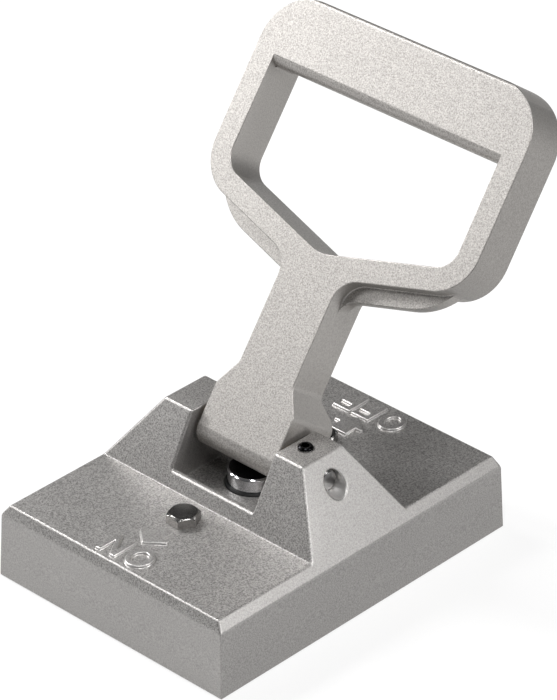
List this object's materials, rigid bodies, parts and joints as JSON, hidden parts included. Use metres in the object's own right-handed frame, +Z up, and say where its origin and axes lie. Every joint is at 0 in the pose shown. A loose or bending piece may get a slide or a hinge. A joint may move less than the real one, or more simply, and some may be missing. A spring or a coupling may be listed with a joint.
{
  "type": "plate magnet",
  "caption": "Hand-held plate magnet: a die-cast base with a steel-pole holding face, and a ring handle that tilts to push a release plunger down.",
  "frame": {"origin": "middle of the flat holding face, on the plunger's axis", "axes": "X along the pivot pin, +Y towards the end marked OFF, +Z up out of the holding face"},
  "size_m": [0.1146, 0.1536, 0.1581],
  "materials": {
    "cast_alloy": "fine-grained silver casting finish",
    "handle_alloy": "fine-grained silver casting finish",
    "bronze": "turned",
    "pin_steel": "ground",
    "black_steel": "blackened",
    "chrome": "polished",
    "rubber": "matt",
    "spring_steel": "drawn wire",
    "bolt_steel": "dull zinc",
    "plate_steel": "rolled",
    "pole_steel": "ground",
    "magnet": "sintered",
    "resin": "cast resin"
  },
  "bodies": {
    "base": {"housing": "cast_alloy", "pivot_pin": "pin_steel", "pin_set_screw": "black_steel", "plunger_seal": "rubber", "plunger_guide": "bronze", "plunger_spring": "spring_steel", "hex_bolts": "bolt_steel", "backing_plate": "plate_steel", "middle_pole": "pole_steel", "side_pole_left": "pole_steel", "side_pole_right": "pole_steel", "magnet_left_on": "magnet", "magnet_left_middle": "magnet", "magnet_left_off": "magnet", "magnet_right_on": "magnet", "magnet_right_middle": "magnet", "magnet_right_off": "magnet", "tie_screws": "plate_steel", "potting_resin": "resin"},
    "handle": {"handle": "handle_alloy", "handle_bush_left": "bronze", "handle_bush_right": "bronze"},
    "plunger": {"release_plunger": "chrome"}
  },
  "joints": [
    {"name": "handle_tilt", "type": "hinge", "parent": "base", "child": "handle", "pos_m": [0, 0, 0.0419], "axis": [-1, 0, 0], "range_deg": [-35.9, 36.1]},
    {"name": "plunger_travel", "type": "slide", "parent": "base", "child": "plunger", "axis": [0, 0, -1], "range_m": [-0.00169, 0.0017], "stiffness_N_per_m": 3000, "springref_m": -0.003, "deforming": ["plunger_spring"]}
  ],
  "couplings": [
    {"joint": "plunger_travel", "follows": "handle_tilt", "m_per_rad": 0.0027}
  ]
}
